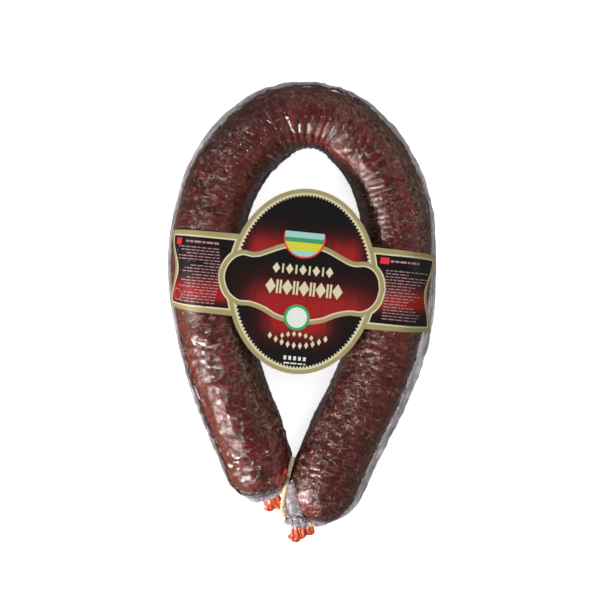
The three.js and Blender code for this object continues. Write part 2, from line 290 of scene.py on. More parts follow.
def grid_mesh(name, points, uv, ends=(), values=None):
    """A tube through rings of points. uv is their places along and around in millimetres, ends lists the
    rings to close as (ring, flipped), and values are named fields that materials read."""
    rings, count = points.shape[:2]
    verts = list(points.reshape(-1, 3) * MM)
    rows = np.arange(rings - 1)[:, None] * count
    left, right = np.arange(count), (np.arange(count) + 1) % count
    quads = np.stack([rows + left, rows + right, rows + count + right, rows + count + left], -1)
    faces = quads.reshape(-1, 4).tolist()
    along, around = uv
    u = np.broadcast_to(along[:, None], (rings, count + 1))
    v = np.broadcast_to(np.append(around, 2 * around[-1] - around[-2])[None, :], u.shape)
    cells = [(slice(0, -1), slice(0, -1)), (slice(0, -1), slice(1, None)),
             (slice(1, None), slice(1, None)), (slice(1, None), slice(0, -1))]
    loops = np.stack([np.stack([u[c], v[c]], -1) for c in cells], 2).reshape(-1, 2).tolist()
    for ring, flip in ends:
        first = (ring % rings) * count
        hub = len(verts)
        verts.append(points[ring].mean(0) * MM)
        for i in range(count):
            edge = [first + i, first + (i + 1) % count]
            a, b = edge if flip else edge[::-1]
            faces.append([hub, a, b])
            loops.extend([[along[ring], around[i]]] * 3)
    fields = {}
    for key, field in (values or {}).items():
        fields[key] = np.zeros(len(verts))
        fields[key][:rings * count] = np.broadcast_to(field, (rings, count)).ravel()
    return built_mesh(name, verts, faces, loops, fields)


# ---------------- shader nodes


def rgb(red, green, blue):
    """Linear colour from the usual 0 to 255 values."""
    def linear(value):
        value /= 255
        return value / 12.92 if value <= 0.04045 else ((value + 0.055) / 1.055) ** 2.4
    return (linear(red), linear(green), linear(blue), 1.0)


class Nodes:
    """Short names for the nodes of one tree."""

    def __init__(self, tree):
        self.tree = tree

    def node(self, kind, inputs=None, **settings):
        node = self.tree.nodes.new(kind)
        for key, value in settings.items():
            setattr(node, key, value)
        for key, value in (inputs or {}).items():
            if isinstance(value, bpy.types.NodeSocket):
                self.tree.links.new(value, node.inputs[key])
            else:
                node.inputs[key].default_value = value
        return node

    def ramp(self, share, *stops):
        node = self.node("ShaderNodeValToRGB", {0: share})
        elements = node.color_ramp.elements
        for index, (place, colour) in enumerate(stops):
            element = elements[index] if index < 2 else elements.new(place)
            element.position = place
            element.color = colour
        return node.outputs[0]


class Paint(Nodes):
    """Short names for the shader nodes of one material."""

    def __init__(self, name):
        self.material = bpy.data.materials.new(name)
        self.material.use_nodes = True
        super().__init__(self.material.node_tree)
        self.tree.nodes.clear()
        self.output = self.node("ShaderNodeOutputMaterial")

    def finish(self, shader):
        self.tree.links.new(shader, self.output.inputs["Surface"])
        return self.material

    def coordinates(self, kind, scale):
        place = self.node("ShaderNodeTexCoord").outputs[kind]
        return self.node("ShaderNodeMapping", {"Vector": place, "Scale": scale}).outputs[0]

    def uv(self, *scale):
        """Surface positions in millimetres, along and around, times a scale."""
        return self.coordinates("UV", (*scale, 1))

    def value(self, name):
        return self.node("ShaderNodeAttribute", attribute_name=name).outputs["Fac"]

    def noise(self, vector, detail=2.0, rough=0.5, warp=0.0):
        inputs = {"Vector": vector, "Scale": 1.0, "Detail": detail, "Roughness": rough, "Distortion": warp}
        return self.node("ShaderNodeTexNoise", inputs).outputs["Fac"]

    def math(self, kind, a, b=0.0):
        return self.node("ShaderNodeMath", {0: a, 1: b}, operation=kind).outputs[0]

    def blend(self, *weighted):
        """The sum of values times their weights."""
        total = self.math("MULTIPLY", *weighted[0])
        for value, weight in weighted[1:]:
            total = self.math("ADD", total, self.math("MULTIPLY", value, weight))
        return total

    def step(self, value, low, high, start=0.0, end=1.0):
        inputs = {"Value": value, "From Min": low, "From Max": high, "To Min": start, "To Max": end}
        return self.node("ShaderNodeMapRange", inputs, interpolation_type="SMOOTHSTEP").outputs[0]

    def mix(self, share, a, b):
        return self.node("ShaderNodeMix", {0: share, 6: a, 7: b}, data_type="RGBA").outputs[2]

    def mix_shader(self, share, a, b):
        return self.node("ShaderNodeMixShader", {0: share, 1: a, 2: b}).outputs[0]

    def bump(self, height, distance, strength):
        inputs = {"Height": height, "Distance": distance, "Strength": strength}
        return self.node("ShaderNodeBump", inputs).outputs[0]

    def principled(self, **inputs):
        names = {key.replace("_", " "): value for key, value in inputs.items()}
        return self.node("ShaderNodeBsdfPrincipled", names).outputs[0]


# ---------------- materials


def casing_material():
    """Dried meat seen through its casing: blotches, fibres, pits, olive-grey bands, and painted key light, a
    paler brown on the flanks that face the key softbox.
    """
    p = Paint("cured_casing")
    broad = p.noise(p.uv(0.028, 0.045), detail=3, rough=0.55, warp=0.6)
    blotch = p.noise(p.uv(0.10, 0.12), detail=5, rough=0.66, warp=0.8)
    grain = p.noise(p.uv(0.42, 0.40), detail=3, rough=0.6, warp=0.4)
    tone = p.blend((blotch, 0.62), (grain, 0.38))
    colour = p.ramp(tone, (0.36, rgb(58, 15, 13)), (0.46, rgb(104, 27, 20)),
                    (0.55, rgb(136, 37, 24)), (0.66, rgb(162, 57, 35)))
    colour = p.mix(p.step(broad, 0.5, 0.7, 0, 0.7), colour, rgb(94, 27, 26))
    fibres = p.noise(p.uv(0.62, 0.16), detail=3, rough=0.65, warp=1.4)
    colour = p.mix(p.step(fibres, 0.56, 0.72, 0, 0.55), colour, rgb(166, 92, 72))
    strands = p.noise(p.uv(0.10, 0.85), detail=3, rough=0.6, warp=1.0)
    colour = p.mix(p.step(strands, 0.60, 0.72, 0, 0.35), colour, rgb(158, 84, 60))
    olive = p.math("MULTIPLY", p.value("olive"), p.step(tone, 0.42, 0.60, 0.25, 1))
    olive_colour = p.ramp(grain, (0.42, rgb(32, 21, 18)), (0.50, rgb(92, 78, 60)), (0.57, rgb(136, 124, 96)))
    colour = p.mix(olive, colour, olive_colour)
    colour = p.mix(p.step(grain, 0.40, 0.30, 0, 0.5), colour, rgb(48, 15, 14))
    # Painted key light: a paler brown mixed in on the flanks that face the key softbox.
    colour = p.mix(p.step(p.value("warm"), 0, 1, 0, 0.6), colour, rgb(102, 51, 36))
    normal = p.bump(p.blend((tone, 0.6), (fibres, 0.4)), 0.0014, 0.6)
    shader = p.principled(Base_Color=colour, Roughness=p.step(grain, 0.3, 0.7, 0.42, 0.62),
                          Specular_IOR_Level=0.12, Normal=normal)
    return p.finish(shader)


def film_material():
    """Clear film: a glossy skin, pale where it is creased. Its fins carry painted light: lilac-grey to white
    painted reflection and shade on the outer ones, dark blue-grey painted shade on the inner ones, and
    darker painted shade where they leave the body.
    """
    p = Paint("clear_film")
    fine = p.noise(p.uv(0.34, 0.30), detail=4, rough=0.6, warp=1.2)
    long_folds = p.noise(p.uv(0.05, 0.65), detail=3, rough=0.6, warp=0.7)
    cross_folds = p.noise(p.uv(0.42, 0.07), detail=3, rough=0.6, warp=0.9)
    patches = p.noise(p.uv(0.06, 0.07))

    def lines(scale, width, share, warp):
        """Thin pale folds where a noise crosses its middle."""
        field = p.noise(p.uv(*scale), warp=warp)
        line = p.step(p.math("ABSOLUTE", p.math("SUBTRACT", field, 0.5)), width, width * 0.2)
        return p.math("MULTIPLY", line, share)

    fin, inner = p.value("fin"), p.value("inner")
    strands = p.math("MULTIPLY", p.step(long_folds, 0.35, 0.65), p.step(cross_folds, 0.3, 0.7, 0.55, 1))
    # Painted reflection and shade on the outer fins: lilac-grey, paler to near-white along the folds.
    outer_fin_painted_sheen = p.ramp(strands, (0.0, rgb(130, 121, 127)), (0.45, rgb(188, 179, 187)),
                          (1.0, rgb(238, 233, 239)))
    # Painted shade on the inner fins, which face the shaded gap between the arms: dark blue-grey.
    inner_fin_painted_shade = p.ramp(strands, (0.0, rgb(40, 38, 50)), (0.5, rgb(84, 80, 100)),
                          (1.0, rgb(140, 134, 152)))
    fin_painted_light = p.mix(inner, outer_fin_painted_sheen, inner_fin_painted_shade)
    # Painted shade where a fin leaves the body: a darker grey.
    fin_painted_light = p.mix(p.step(fin, 0.55, 0.15), fin_painted_light, rgb(92, 84, 88))
    across = lines((0.17, 0.05), 0.013, p.step(patches, 0.42, 0.56, 0.2, 1), 0.5)
    short = lines((0.36, 0.15), 0.018, p.step(patches, 0.56, 0.42, 0.12, 1), 0.8)
    lengthwise = lines((0.05, 0.16), 0.010, p.step(fine, 0.45, 0.6), 0.6)
    crease = p.value("crease")
    for line in (across, short, lengthwise):
        crease = p.math("MAXIMUM", crease, line)
    crease = p.math("MULTIPLY", crease, p.step(fine, 0.34, 0.60, 0.25, 1))
    haze = p.math("MULTIPLY", crease, 0.50)
    colour = p.mix(p.step(fin, 0.02, 0.3), rgb(198, 156, 142), fin_painted_light)
    veil = p.math("MULTIPLY", p.step(fin, 0.05, 0.45), p.step(strands, 0.0, 0.8, 0.80, 0.62))
    cover = p.math("MAXIMUM", p.math("ADD", haze, 0.006), veil)
    normal = p.bump(p.blend((fine, 0.7), (cross_folds, 0.3), (crease, 0.25)), 0.0014, 0.5)
    clear = p.node("ShaderNodeBsdfTransparent", {"Color": (1, 1, 1, 1)}).outputs[0]
    dull = p.node("ShaderNodeBsdfDiffuse", {"Color": colour, "Normal": normal}).outputs[0]
    body = p.mix_shader(cover, clear, dull)
    rough = p.step(p.value("matte"), 0, 1, 0.10, 0.27)
    mirror = {"Color": (1, 1, 1, 1), "Roughness": rough, "Normal": normal}
    gloss = p.node("ShaderNodeBsdfAnisotropic", mirror).outputs[0]
    fresnel = p.node("ShaderNodeFresnel", {"IOR": 1.5, "Normal": normal}).outputs[0]
    fresnel = p.math("MULTIPLY", fresnel, p.math("MAXIMUM", p.step(fin, 0.08, 0.5, 1, 0.3), inner))
    return p.finish(p.mix_shader(fresnel, body, gloss))


def string_material():
    """Pale cotton with a little fuzz."""
    p = Paint("cotton_string")
    fuzz = p.noise(p.coordinates("Object", (900, 900, 900)), detail=4, rough=0.7)
    colour = p.ramp(fuzz, (0.3, rgb(180, 146, 98)), (0.5, rgb(234, 212, 168)), (0.7, rgb(250, 238, 208)))
    normal = p.bump(fuzz, 0.0005, 0.7)
    return p.finish(p.principled(Base_Color=colour, Roughness=0.85, Sheen_Weight=0.3, Normal=normal))


def tail_material():
    """Orange-red gathered casing, moist and slightly see-through."""
    p = Paint("gathered_casing")
    folds = p.noise(p.uv(0.12, 0.9), detail=4, rough=0.65, warp=0.6)
    colour = p.ramp(folds, (0.30, rgb(134, 26, 14)), (0.44, rgb(196, 62, 30)),
                    (0.56, rgb(222, 102, 58)), (0.66, rgb(244, 196, 168)))
    normal = p.bump(folds, 0.0008, 0.7)
    shader = p.principled(Base_Color=colour, Roughness=0.3, Coat_Weight=0.6, Coat_Roughness=0.12,
                          Subsurface_Weight=0.35, Subsurface_Scale=0.002, Normal=normal)
    return p.finish(shader)


def ink_material(name, *stops, rough=0.42):
    """Printed film: a plain colour or a glow ramp, with faint printing streaks."""
    p = Paint(name)
    grain = p.noise(p.uv(2.2, 2.2), rough=0.6)
    if len(stops) == 1:
        dark = tuple(c * 0.78 for c in stops[0][1][:3]) + (1.0,)
        colour = p.mix(p.step(grain, 0.3, 0.7), dark, stops[0][1])
    else:
        streaks = p.step(p.noise(p.uv(1.3, 0.02), rough=0.6), 0.35, 0.65, 0.9, 1.1)
        colour = p.ramp(p.math("MULTIPLY", p.value("glow"), streaks), *stops)
    normal = p.bump(p.noise(p.uv(0.05, 0.06)), 0.004, 0.12)
    uneven = p.step(grain, 0.3, 0.7, rough - 0.05, rough + 0.05)
    shader = p.principled(Base_Color=colour, Roughness=uneven, Specular_IOR_Level=0.35, Normal=normal)
    return p.finish(shader)


# ---------------- surface relief


def skin_relief(arc, around, turn):
    """Lumps, dents and gathers of the casing, in millimetres."""
    lumps = 0.40 * skin_noise(arc, around, 19, 16, 11)
    dents = 0.26 * skin_noise(arc, around, 8, 7.5, 12)
    small = 0.14 * skin_noise(arc, around, 3.6, 3.6, 13)
    return lumps + dents + small + 0.5 * rib_relief(arc, around, turn)


def bend(share):
    """Where the bend gathers the casing: the arch and the right shoulder."""
    return span(share, 0.42, 0.46, 0.66, 0.72)


def rib_relief(arc, around, turn):
    """Gathers across the bend's inner side, in millimetres: wide on the arch, close on the shoulder."""
    share = arc / AXIS.length
    inner = smoothstep(-np.cos(turn), -0.5, 0.2)
    shoulder = smoothstep(share, 0.53, 0.57)
    spacing = 6.6 - 2.7 * shoulder
    steep = 0.20 - 0.06 * shoulder
    wander = 0.42 * skin_noise(arc, around, 17, 19, 21)
    phase = np.cumsum(np.gradient(arc[:, 0]) / spacing[:, 0])[:, None] + wander
    uneven = (0.85 + 0.7 * skin_noise(arc, around, 9, 14, 22)).clip(0.2, 1.2)
    return bend(share) * inner * np.abs(np.sin(math.pi * phase)) * uneven * spacing * steep


def film_relief(arc, around, turn):
    """Wrinkles of the film over the casing, in millimetres and never below 0."""
    share = arc / AXIS.length
    bunched = bend(share) * smoothstep(-np.cos(turn), -0.3, 0.3)
    folds = ridges(arc, around, 5.6, 12.5, 24) ** 3
    crinkle = ridges(arc, around, 6.0, 6.2, 23) ** 2
    fine = ridges(arc, around, 3.2, 3.8, 25)
    busy = 0.9 + 0.4 * skin_noise(arc, around, 24, 20, 26)
    loose = hump(turn, math.radians(58), math.radians(20)) * (1 - smoothstep(share, 0.20, 0.24))
    crumple = 1.1 * ridges(arc, around, 4.8, 5.4, 27) ** 2 + 1.3 * ridges(arc, around, 7.5, 8.5, 28) ** 3
    wrinkles = (1.15 * folds + 0.95 * crinkle + 0.42 * fine) * busy + 0.45 * loose * crumple
    quiet = 1 - 0.45 * smoothstep(share, 0.70, 0.75) - 0.35 * span(share, 0.24, 0.28, 0.42, 0.46)
    under = 0.25 + 0.75 * smoothstep(np.sin(turn), -0.75, -0.2)
    return under * (rib_relief(arc, around, turn) * 0.6 + (1 - 0.85 * bunched) * quiet * wrinkles).clip(0)


# ---------------- casing and film


def olive_bands_and_painted_light(share, turn):
    """Where the casing is olive-grey, and where a paler brown paints the key light on the flanks facing it,
    0 to 1 or a little more.
    """
    above = np.sin(turn) > -0.2
    outer_band = hump(np.cos(turn), 0.76, 0.14) * above
    inner_band = hump(np.cos(turn), -0.66, 0.22) * above
    # Olive-grey bands: on the outer flank from the arch's top round the right shoulder to the right arm, and
    # on the inner flank of the left arm.
    olive = (1.5 * outer_band * span(share, 0.50, 0.56, 0.74, 0.80)
             + inner_band * span(share, 0.03, 0.10, 0.24, 0.36)
             + 0.5 * outer_band * span(share, 0.44, 0.48, 0.50, 0.56))
    # Painted key light: a paler brown on the flanks that face the key softbox, the outer side of the left
    # arm and the inner side of the right shoulder and arm.
    warm = (hump(np.cos(turn), 0.72, 0.2) * (1 - smoothstep(share, 0.2, 0.3))
            + 0.7 * hump(np.cos(turn), -0.6, 0.25) * span(share, 0.55, 0.62, 0.8, 0.9))
    return olive, warm


def make_sausage():
    arcs = stations(0)
    arc, around, turn = arcs[:, None], ROUND[None, :], TURNS[None, :]
    relief = skin_relief(arc, around, turn) * smoothstep(radius_at(arc), 5, 16)
    olive, warm = olive_bands_and_painted_light(arc / AXIS.length, turn)
    mesh = grid_mesh("cured_sausage", swept(arcs, relief), (arcs, ROUND), ends=[(0, False), (-1, True)],
                     values={"olive": olive, "warm": warm})
    material = casing_material()
    new_piece("cured_sausage", mesh, material, "sausage")
    return material


def held_down(relief, arc):
    """The relief, pressed flat where the label's wings lie on the film."""
    held = span(arc, 108, 118, 186, 196) + span(arc, 370, 380, 440, 450)
    return np.where(held > 0, relief * (1 - held) + np.minimum(relief, 0.3) * held, relief)


def make_film():
    arcs = stations(NECK_LENGTH + 1.2)
    arc, around, turn = arcs[:, None], ROUND[None, :], TURNS[None, :]
    radius = radius_at(arc)
    relief = skin_relief(arc, around, turn) + film_relief(arc, around, turn)
    relief = held_down(relief * smoothstep(radius, 5, 16), arc)

    _, outer_fin, inner_fin = profile_at(arc)
    ragged = 1 + 0.10 * noise(arc / 9, 0.5, seed=31) + 0.05 * noise(arc / 3, 0.5, seed=32)
    inner = np.cos(turn) < 0
    width = np.where(inner, inner_fin, outer_fin) * ragged * (radius / BODY_RADIUS) ** 2
    width = np.maximum(width, LEAST_FIN)
    from_tip = np.abs(np.arctan2(np.sin(turn), np.abs(np.cos(turn))))
    fin = np.clip(1 - from_tip / FIN_HALF_ANGLE, 0, 1) ** 3
    pleat = 0.3 * ridges(arc, around, 3.4, 20, 33) * fin * (1 - fin) * 4
    offset = FILM_GAP + relief * (1 - 0.6 * fin) + pleat * np.minimum(width, 3) / 3
    points = swept(arcs, offset, 1 + fin * width / radius)

    crumpled = skin_noise(arc, around, 16, 14, 42) > 0.2
    crease = 0.8 * ridges(arc, around, 6.5, 17, 41, 0.05) * crumpled
    share = arc / AXIS.length
    matte = (0.30 + 0.25 * smoothstep(share, 0.26, 0.32)) * (1 - smoothstep(share, 0.42, 0.47))
    matte = matte + 0.85 * smoothstep(share, 0.70, 0.78)
    values = {"fin": fin * smoothstep(width, 0.2, 1.5), "inner": inner, "crease": crease, "matte": matte}
    mesh = grid_mesh("clear_film", points, (arcs, ROUND), values=values)
    mesh.set_sharp_from_angle(angle=math.radians(70))
    material = film_material()
    new_piece("clear_film", mesh, material, "film_bag")
    return material


# ---------------- string and tails


def tube_along(points, radii, sides, twist=0.0):
    """Rings of a tube along a line of points in 3D, turned as little as possible."""
    slopes = np.gradient(points, axis=0)
    slopes /= np.linalg.norm(slopes, axis=1, keepdims=True)
    normal = np.cross(slopes[0], (0.3, 0.1, 1.0))
    rings = []
    for i, (point, slope) in enumerate(zip(points, slopes)):
        normal = normal - slope * normal.dot(slope)
        normal /= np.linalg.norm(normal)
        side = np.cross(slope, normal)
        turn = np.linspace(0, 2 * math.pi, sides, endpoint=False) + twist * i
        ring = point + radii[i] * (np.cos(turn)[:, None] * normal + np.sin(turn)[:, None] * side)
        rings.append(ring)
    return np.array(rings)


def merged(name, meshes):
    """One mesh from several."""
    joint = bmesh.new()
    for mesh in meshes:
        joint.from_mesh(mesh)
        bpy.data.meshes.remove(mesh)
    mesh = bpy.data.meshes.new(name)
    joint.to_mesh(mesh)
    joint.free()
    return mesh


def twine(name, route, pitch=7.5):
    """Three strands laid round a route."""
    line = Line(route, steps=16)
    count = int(line.length / 0.45)
    arcs = np.linspace(0, line.length, count)
    core = line.at(arcs)
    twist = 2 * math.pi * line.length / pitch / count
    guide = tube_along(core, np.full(count, 0.52 * STRING_RADIUS), 3, twist)
    strands = []
    for strand in range(3):
        rings = tube_along(guide[:, strand], np.full(count, 0.54 * STRING_RADIUS), 9)
        uv = (arcs, np.linspace(0, 4, 9))
        strands.append(grid_mesh(f"{name}_{strand}", rings, uv, ends=[(0, False), (-1, True)]))
    return merged(name, strands)


def loop_round(arc, radius, turns=0.985, steps=40):
    """Points of a turn of string round a neck, open by a hair where its ends meet."""
    centre, along = AXIS.at(arc), AXIS.along(arc)
    outward, up = np.array([-along[1], along[0], 0.0]), np.array([0, 0, 1.0])
    angle = np.linspace(0, 2 * math.pi * turns, steps)[:, None]
    middle = np.array([centre[0], centre[1], AXIS_HEIGHT])
    return middle + radius * (np.cos(angle) * outward + np.sin(angle) * up)


def make_strings():
    material = string_material()
    near_end = NECK_LENGTH / 2
    reach = NECK_RADIUS + 0.3 + STRING_RADIUS
    left = twine("string_left_turn", loop_round(near_end, reach))
    new_piece("string_left", left, material, "tie_string_left")
    turn = twine("string_right_turn", loop_round(AXIS.length - near_end, reach))
    run = twine("string_right_run", [
        (0.5, -130, 24.6), (-4.5, -130.5, 25.1), (-9, -128, 25.1), (-11.2, -122.5, 25.1),
        (-10.6, -115, 26.1), (-9, -107, 28.1), (-6.8, -98, 29.1), (-4.6, -90, 28.6),
    ])
    new_piece("string_right", merged("string_right", [turn, run]), material, "tie_string_right")


def lobe(name, root, tip, half_width, half_height, pleats, seed):
    """A drop of gathered casing with pleats running to its tip."""
    root, tip = np.array(root, float), np.array(tip, float)
    length = np.linalg.norm(tip - root)
    along = (tip - root) / length
    side = np.array([along[1], -along[0], 0.0])
    side /= np.linalg.norm(side)
    up = np.cross(side, along)
    share = np.linspace(0, 1, 34)
    outline = np.interp(share, [0, 0.02, 0.25, 0.55, 0.8, 0.93, 0.985, 1],
                        [0.3, 0.45, 0.72, 0.95, 0.86, 0.55, 0.25, 0.02])
    turn = np.linspace(0, 2 * math.pi, 56, endpoint=False)
    pleat = 1 + 0.13 * np.cos(pleats * turn[None, :] + 3 * noise(share[:, None] * 2.2, 0.5, seed=seed))
    pleat = pleat + 0.10 * noise(share[:, None] * 5, turn[None, :] * 8 / (2 * math.pi), 8, seed + 1)
    across = half_width * outline[:, None] * pleat * np.cos(turn)
    high = half_height * outline[:, None] * pleat * np.sin(turn)
    sway = 0.5 * np.sin(share * 5 + seed)
    spine = root + share[:, None] * length * along + sway[:, None] * side
    rings = spine[:, None] + across[..., None] * side + high[..., None] * up
    return grid_mesh(name, rings, (share * length, turn * half_width), ends=[(0, False), (-1, True)])


def make_tails():
    material = tail_material()
    left = merged("tail_left", [
        lobe("a", (-19.5, -111.5, 27.5), (-18.6, -124.2, 20.0), 4.0, 2.0, 7, 3),
        lobe("b", (-17.5, -112.0, 27.5), (-11.2, -122.8, 19.5), 3.6, 1.9, 6, 5),
        lobe("c", (-13.6, -109.6, 31.0), (-12.2, -101.6, 33.6), 1.9, 1.2, 5, 8),
        lobe("d", (-11.2, -105.4, 31.6), (-9.4, -96.4, 33.8), 1.5, 1.1, 4, 9),
        lobe("e", (-14.8, -106.6, 33.2), (-13.6, -99.4, 35.2), 1.2, 0.9, 4, 10),
    ])
    new_piece("tail_left", left, material, "casing_tail_left")
    right = merged("tail_right", [
        lobe("a", (-3.6, -131.0, 25.5), (-2.4, -143.4, 17.8), 4.4, 2.4, 7, 11),
        lobe("b", (1.0, -131.0, 25.0), (-0.2, -141.2, 18.6), 3.4, 2.2, 6, 13),
        lobe("d", (4.2, -131.0, 24.0), (7.4, -138.8, 18.6), 3.2, 2.0, 6, 17),
    ])
    new_piece("tail_right", right, material, "casing_tail_right")


def make_gathers(material):
    """Pleats of the casing that run in to the left tie."""
    pleats = merged("casing_gathers", [
        lobe("a", (-33.5, -103.5, 20.5), (-28.8, -113.8, 19.0), 5.4, 5.2, 5, 21),
        lobe("b", (-28.0, -103.0, 22.0), (-25.0, -115.2, 19.6), 5.8, 7.0, 6, 23),
        lobe("c", (-20.0, -103.0, 22.0), (-20.6, -114.6, 19.8), 5.4, 6.6, 6, 25),
    ])
    new_piece("casing_gathers", pleats, material, "sausage")


def film_end(name, seed, strength, inner, outer):
    """A flap of the bag's end: a thin rippled sheet between two lines."""
    across = 12
    inner, outer = centripetal(inner, 14), centripetal(outer, 14)
    share = np.linspace(0, 1, across)[None, :, None]
    sheet = inner[:, None] * (1 - share) + outer[:, None] * share
    steps = np.arange(len(inner))[:, None] * 0.55
    sheet[..., 2] += 1.1 * noise(steps / 3.0, share[..., 0] * 1.4, seed=seed)
    sheet[..., 2] += 0.5 * noise(steps / 1.3, share[..., 0] * 2.5, seed=seed + 1)
    sheet[:, -1, :2] += 0.5 * noise(steps[:, 0] / 1.5, 0.5, seed=seed + 2)[:, None]
    lower = sheet[:, ::-1] - (0, 0, FLAP_THICKNESS)
    rings = np.concatenate([sheet, lower], 1)
    around = np.concatenate([np.linspace(0, 5, across), np.linspace(5.2, 10, across)])
    # Fin value of each flap: how opaque it is, and how far it takes the film's painted lilac-grey reflection
    # and shade.
    veil = np.concatenate([np.linspace(0.22, 0.75, across), np.linspace(0.75, 0.22, across)])
    ends = smoothstep(steps, 0, 3.5) * (1 - smoothstep(steps, steps[-1] - 2.5, steps[-1]))
    veil = veil[None, :] * (0.25 + 0.75 * ends) * strength
    zero = np.zeros((1, 2 * across))
    return grid_mesh(name, rings, (steps[:, 0] * 1.2, around), ends=[(0, False), (-1, True)],
                     values={"fin": veil, "inner": zero, "crease": zero, "matte": zero})


# The flaps of the bag's ends: seed, strength, the line where each leaves the bag, and its free edge.
FLAPS = {
    "left_end": (
        81, 0.7,
        [(-38.8, -108.2, 25), (-33.2, -110, 29), (-25.1, -111, 32.5),
         (-17.7, -110, 31.5), (-10.9, -107.6, 28)],
        [(-37.8, -112.2, 20), (-31.5, -117, 24), (-25.1, -118, 27.8),
         (-17.7, -115.6, 28.6), (-9.8, -112.2, 26)]),
    "right_side": (
        84, 1.0,
        [(-4.7, -103.2, 35.2), (-2.2, -110.7, 34.5), (0.3, -118.7, 32), (2.8, -127.4, 28)],
        [(-8.6, -106, 26), (-9.8, -113.8, 25), (-9.8, -121.2, 24), (-8.8, -129.6, 24)]),
    "right_end": (
        87, 1.0,
        [(2.8, -126.8, 28.5), (9.6, -128.3, 28), (17, -127.7, 27), (24.5, -123.3, 26)],
        [(1.6, -132.4, 27), (9.6, -133.6, 22), (18.3, -131.6, 20), (27.3, -125.4, 20)]),
    "right_neck": (
        90, 1.0,
        [(-9.5, -126.3, 27.4), (-4, -127, 28.6), (2, -127.4, 29), (6, -127.6, 27.5)],
        [(-10.6, -130.8, 26.4), (-4.5, -133, 27.2), (1.5, -133.6, 27), (6.4, -133, 25.5)]),
}


def make_film_ends(material):
    flaps = merged("film_ends", [film_end(name, *flap) for name, flap in FLAPS.items()])
    new_piece("film_ends", flaps, material, "film_bag")


# ---------------- label


def on_arms(flat, lift):
    """Lays flat points over the arms: level between their crests, then round and down their outer sides."""
    flat = np.asarray(flat, float)
    samples = AXIS.points[::2]
    gaps = ((flat[:, None] - samples[None]) ** 2).sum(-1)
    nearest = AXIS.arcs[::2][gaps.argmin(1)]
    centre, along = AXIS.at(nearest), AXIS.along(nearest)
    outward = np.stack([-along[:, 1], along[:, 0]], -1)
    reach = ((flat - centre) * outward).sum(-1)
    outer_fin = profile_at(nearest)[1]
    down = np.maximum(reach, 0)
    turned = np.minimum(down / LABEL_LIFT, np.arcsin(BODY_RADIUS / (BODY_RADIUS + outer_fin)))
    straight = down - turned * LABEL_LIFT
    wrap = LABEL_LIFT + lift
    out = wrap * np.sin(turned) + straight * np.cos(turned)
    up = wrap * np.cos(turned) - straight * np.sin(turned)
    moved = flat + outward * (out - down)[:, None]
    return np.column_stack([moved, AXIS_HEIGHT + up])


def turned_flat(points):
    """Label points, turned and moved to their place."""
    cos, sin = math.cos(LABEL_TILT), math.sin(LABEL_TILT)
    u, v = np.asarray(points, float).T
    return np.column_stack([u * cos - v * sin + LABEL_CENTRE[0], u * sin + v * cos + LABEL_CENTRE[1]])


def wing_end(side, reach, half_height, notch, steps=26):
    """The bracket-shaped end of a wing, from its top to its bottom on the right side."""
    across = np.linspace(1, -1, steps)
    pulled = reach - notch * np.cos(across * math.pi / 2) ** 2
    return np.column_stack([side * pulled, across * half_height])


def label_outline():
    angle = np.linspace(0, math.pi, 90)
    oval_top = np.column_stack([OVAL[0] * np.cos(angle), OVAL[1] * np.sin(angle)])
    oval_top = oval_top[oval_top[:, 1] >= WING_HALF_HEIGHT]
    right = wing_end(1, WING_REACH, WING_HALF_HEIGHT, WING_NOTCH)
    left = wing_end(-1, WING_REACH, WING_HALF_HEIGHT, WING_NOTCH)[::-1]
    return np.vstack([right[::-1], oval_top, left[::-1], oval_top[::-1] * (1, -1)])


def wing_patch(side, inset):
    """One wing's outline, pulled in on its three free sides; its inner side runs on under the oval."""
    end = wing_end(side, WING_REACH - inset, WING_HALF_HEIGHT - inset, WING_NOTCH * 0.95)
    inner = np.array([(side * 30, -(WING_HALF_HEIGHT - inset)), (side * 30, WING_HALF_HEIGHT - inset)])
    return np.vstack([end, inner])


def oval_patch(inset, teeth=0, depth=0.0, steps=180):
    """The oval, pulled in, with a toothed edge where teeth are asked for."""
    count = max(steps, teeth * 2)
    angle = np.linspace(0, 2 * math.pi, count, endpoint=False)
    pull = inset + depth * (np.arange(count) % 2) if teeth else inset
    return np.column_stack([(OVAL[0] - pull) * np.cos(angle), (OVAL[1] - pull) * np.sin(angle)])


def barrel_patch(grow, half_height):
    """The part of the oval between the wings' inner ends."""
    v = np.linspace(-half_height, half_height, 30)
    u = (OVAL[0] + grow) * np.sqrt(1 - (v / (OVAL[1] + grow)) ** 2)
    return np.vstack([np.column_stack([u, v]), np.column_stack([-u, v])[::-1]])


CARTOUCHE = [
    (49.0, -0.5), (47.4, 6.5), (43.6, 11.6), (38.0, 14.0), (32.0, 13.4), (28.4, 13.9), (22.0, 16.6),
    (12.5, 20.6), (0.0, 22.5), (-12.5, 20.6), (-22.0, 16.6), (-28.4, 13.9), (-32.0, 13.4),
    (-38.0, 14.0), (-43.6, 11.2), (-47.4, 6.0), (-49.0, -0.5), (-47.4, -7.6), (-43.6, -13.0),
    (-38.0, -16.2), (-30.5, -16.4), (-22.0, -18.8), (-14.0, -22.6), (0.0, -25.0), (14.0, -22.6),
    (22.0, -18.8), (30.5, -16.4), (38.0, -16.2), (43.6, -13.2), (47.4, -7.8), (49.0, -0.5),
]


def offset_outline(outline, distance):
    """Moves a closed outline, listed anticlockwise, outward by a distance."""
    before, after = np.roll(outline, 1, 0), np.roll(outline, -1, 0)
    slope = after - before
    slope /= np.linalg.norm(slope, axis=1, keepdims=True)
    return outline + distance * np.column_stack([slope[:, 1], -slope[:, 0]])


def disc(centre, radius, steps=48, start=0.0, end=2 * math.pi):
    angle = np.linspace(start, end, steps, endpoint=end - start < 2 * math.pi)
    return np.column_stack([centre[0] + radius * np.cos(angle), centre[1] + radius * np.sin(angle)])


